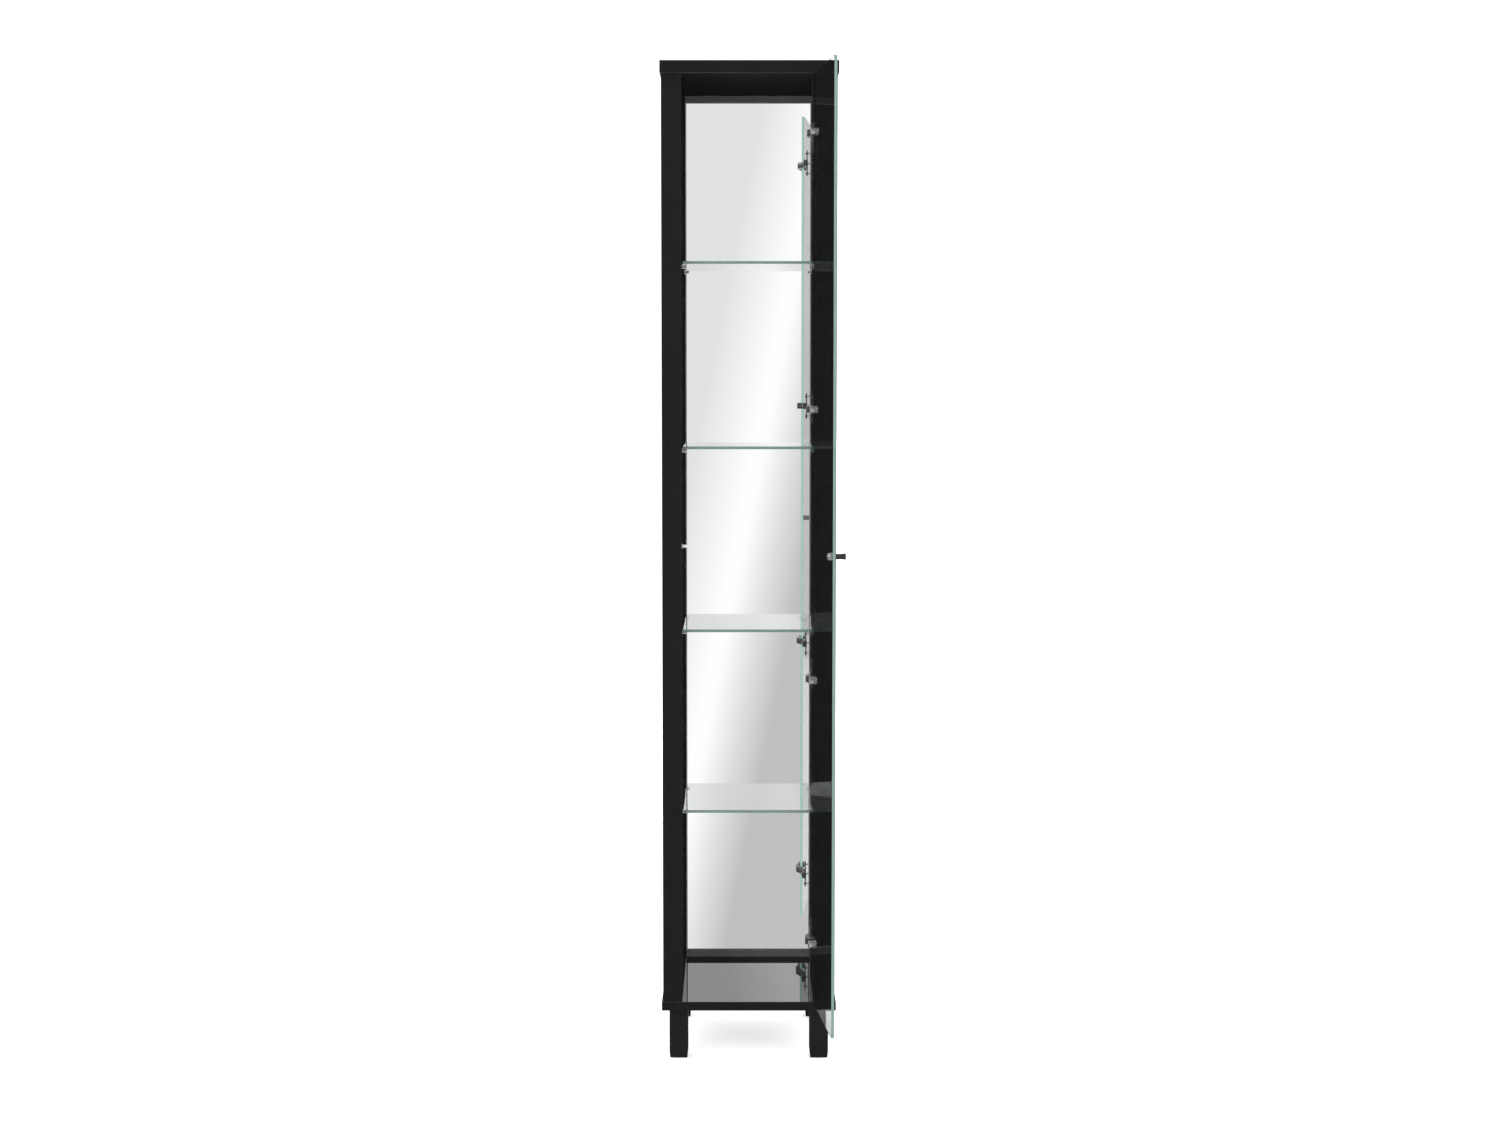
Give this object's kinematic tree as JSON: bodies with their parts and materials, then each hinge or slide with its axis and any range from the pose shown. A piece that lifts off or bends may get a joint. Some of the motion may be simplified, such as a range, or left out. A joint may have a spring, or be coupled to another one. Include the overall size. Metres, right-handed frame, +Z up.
{
  "type": "glass display showcase",
  "caption": "Tall narrow display cabinet with a frameless hinged glass door, glass shelves and a mirror back, on short square legs.",
  "frame": {"origin": "on the floor, at the middle of the cabinet's footprint", "axes": "+X to the viewer's right, +Y to the back, +Z up"},
  "size_m": [0.3217, 0.5269, 1.8],
  "materials": {
    "back_board": "black hardboard, matt",
    "black_board": "smooth black melamine and lacquer, satin gloss",
    "black_metal": "satin black",
    "black_nylon": "black nylon",
    "chrome": "polished chrome",
    "clear_sleeve": "clear soft plastic",
    "door_glass": "clear toughened glass, polished edges",
    "dowel_wood": "fluted beech",
    "hinge_metal": "black nickel",
    "mirror_glass": "silvered float glass, polished edges",
    "shelf_glass": "clear float glass, ground and polished edges",
    "steel": "zinc plated"
  },
  "bodies": {
    "cabinet": {"back_panel": "back_board", "back_panel_screws": "steel", "base_board": "black_board", "carcass_dowels": "dowel_wood", "carcass_screws": "steel", "catch_tip": "black_nylon", "door_catch": "chrome", "foot_glides": "black_nylon", "hinge_1_arm": "hinge_metal", "hinge_1_pin": "steel", "hinge_1_plate": "hinge_metal", "hinge_2_arm": "hinge_metal", "hinge_2_pin": "steel", "hinge_2_plate": "hinge_metal", "hinge_3_arm": "hinge_metal", "hinge_3_pin": "steel", "hinge_3_plate": "hinge_metal", "hinge_4_arm": "hinge_metal", "hinge_4_pin": "steel", "hinge_4_plate": "hinge_metal", "hinge_arm_screws": "steel", "hinge_plate_screws": "steel", "left_side_panel": "black_board", "leg_bolts": "steel", "leg_front_left": "black_board", "leg_front_right": "black_board", "leg_inserts": "steel", "leg_rear_left": "black_board", "leg_rear_right": "black_board", "mirror": "mirror_glass", "mirror_bottom_rail": "black_board", "mirror_top_rail": "black_board", "right_side_panel": "black_board", "shelf_1_pins": "steel", "shelf_2_pins": "steel", "shelf_3_pins": "steel", "shelf_4_pins": "steel", "shelf_pin_sleeves": "clear_sleeve", "top_board": "black_board", "wall_plate_screws": "steel", "wall_plates": "steel"},
    "door": {"door_glass": "door_glass", "door_knob": "black_metal", "knob_cap": "chrome", "knob_washer": "black_nylon", "hinge_glass_bushes": "black_nylon", "hinge_1_cup": "chrome", "hinge_1_cap": "hinge_metal", "hinge_2_cup": "chrome", "hinge_2_cap": "hinge_metal", "hinge_3_cup": "chrome", "hinge_3_cap": "hinge_metal", "hinge_4_cup": "chrome", "hinge_4_cap": "hinge_metal"},
    "shelf_1_body": {"shelf_1": "shelf_glass"},
    "shelf_2_body": {"shelf_2": "shelf_glass"},
    "shelf_3_body": {"shelf_3": "shelf_glass"},
    "shelf_4_body": {"shelf_4": "shelf_glass"}
  },
  "joints": [
    {"name": "door_hinge", "type": "hinge", "parent": "cabinet", "child": "door", "pos_m": [0.109, -0.146, 0.9], "axis": [0, 0, 1], "range_deg": [-97, 6]},
    {"name": "shelf_1_lift", "type": "slide", "parent": "cabinet", "child": "shelf_1_body", "axis": [0, 0, 1], "range_m": [0, 0.03]},
    {"name": "shelf_2_lift", "type": "slide", "parent": "cabinet", "child": "shelf_2_body", "axis": [0, 0, 1], "range_m": [0, 0.03]},
    {"name": "shelf_3_lift", "type": "slide", "parent": "cabinet", "child": "shelf_3_body", "axis": [0, 0, 1], "range_m": [0, 0.03]},
    {"name": "shelf_4_lift", "type": "slide", "parent": "cabinet", "child": "shelf_4_body", "axis": [0, 0, 1], "range_m": [0, 0.03]}
  ]
}
